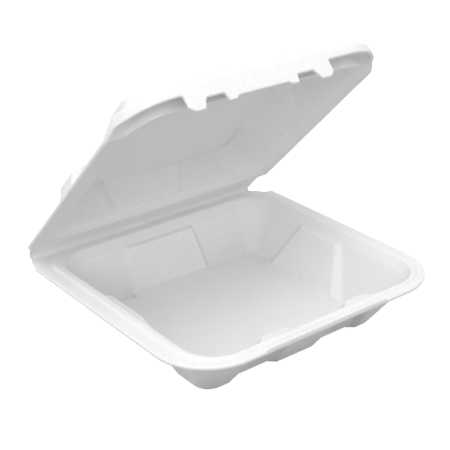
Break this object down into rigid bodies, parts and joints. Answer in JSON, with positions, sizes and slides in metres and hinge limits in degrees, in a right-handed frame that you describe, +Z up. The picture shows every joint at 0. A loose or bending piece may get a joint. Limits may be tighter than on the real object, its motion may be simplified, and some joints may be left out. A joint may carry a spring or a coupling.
{
  "type": "takeout container",
  "caption": "Square hinged foam takeout container with an open tray, a domed lid that folds over on a hinge along the back, and a snap lip at the front.",
  "frame": {"origin": "on the surface the feet stand on, under the middle of the open box", "axes": "+X to the right along the fold, +Y towards the fold at the back, +Z up"},
  "size_m": [0.232, 0.224, 0.2072],
  "materials": {
    "foam": "matte"
  },
  "bodies": {
    "tray": {"tray": "foam"},
    "lid": {"lid": "foam"}
  },
  "joints": [
    {"name": "lid_hinge", "type": "hinge", "parent": "tray", "child": "lid", "pos_m": [0, 0.105, 0.042], "axis": [-1, 0, 0], "range_deg": [-44.5, 135.5]}
  ]
}
